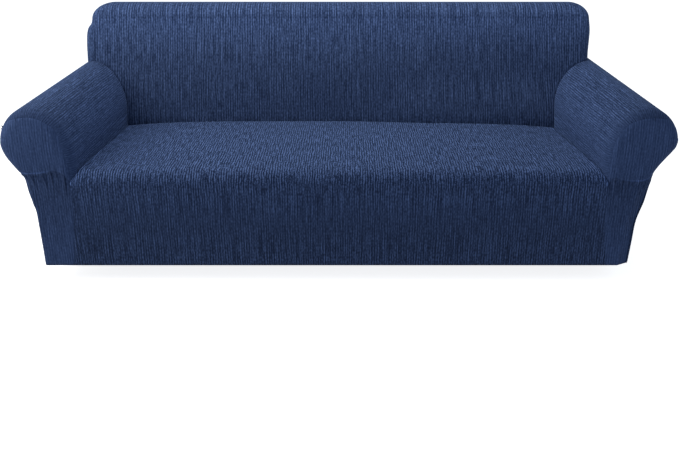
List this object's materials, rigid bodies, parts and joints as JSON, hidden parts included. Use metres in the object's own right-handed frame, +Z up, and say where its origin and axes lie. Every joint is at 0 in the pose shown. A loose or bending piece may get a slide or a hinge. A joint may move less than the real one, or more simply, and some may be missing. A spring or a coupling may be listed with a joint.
{
  "type": "sofa slipcover",
  "caption": "Fitted stretch knit cover in the shape of a three-seat sofa with rolled arms, hollow and open underneath.",
  "frame": {"origin": "underside of the cloth at the middle of the back's flat top, where the cover hangs on the sofa's back", "axes": "+X along the sofa to a viewer's right, +Y from the front to the rear, +Z up"},
  "size_m": [2.208, 0.87, 0.776],
  "materials": {
    "centre_panel": "navy stretch knit with fine slub ribs",
    "inside_back": "navy stretch knit with fine slub ribs",
    "outside_back": "navy stretch knit with fine slub ribs",
    "arm_wrap_left": "navy stretch knit with fine slub ribs",
    "arm_wrap_right": "navy stretch knit with fine slub ribs",
    "arm_facing_left": "navy stretch knit, smooth where stretched",
    "arm_facing_right": "navy stretch knit, smooth where stretched",
    "arm_drop_left": "navy stretch knit, gathered at the top",
    "arm_drop_right": "navy stretch knit, gathered at the top"
  },
  "bodies": {
    "root": {"centre_panel": "centre_panel", "inside_back": "inside_back", "outside_back": "outside_back", "arm_wrap_left": "arm_wrap_left", "arm_wrap_right": "arm_wrap_right", "arm_facing_left": "arm_facing_left", "arm_facing_right": "arm_facing_right", "arm_drop_left": "arm_drop_left", "arm_drop_right": "arm_drop_right"}
  },
  "joints": []
}
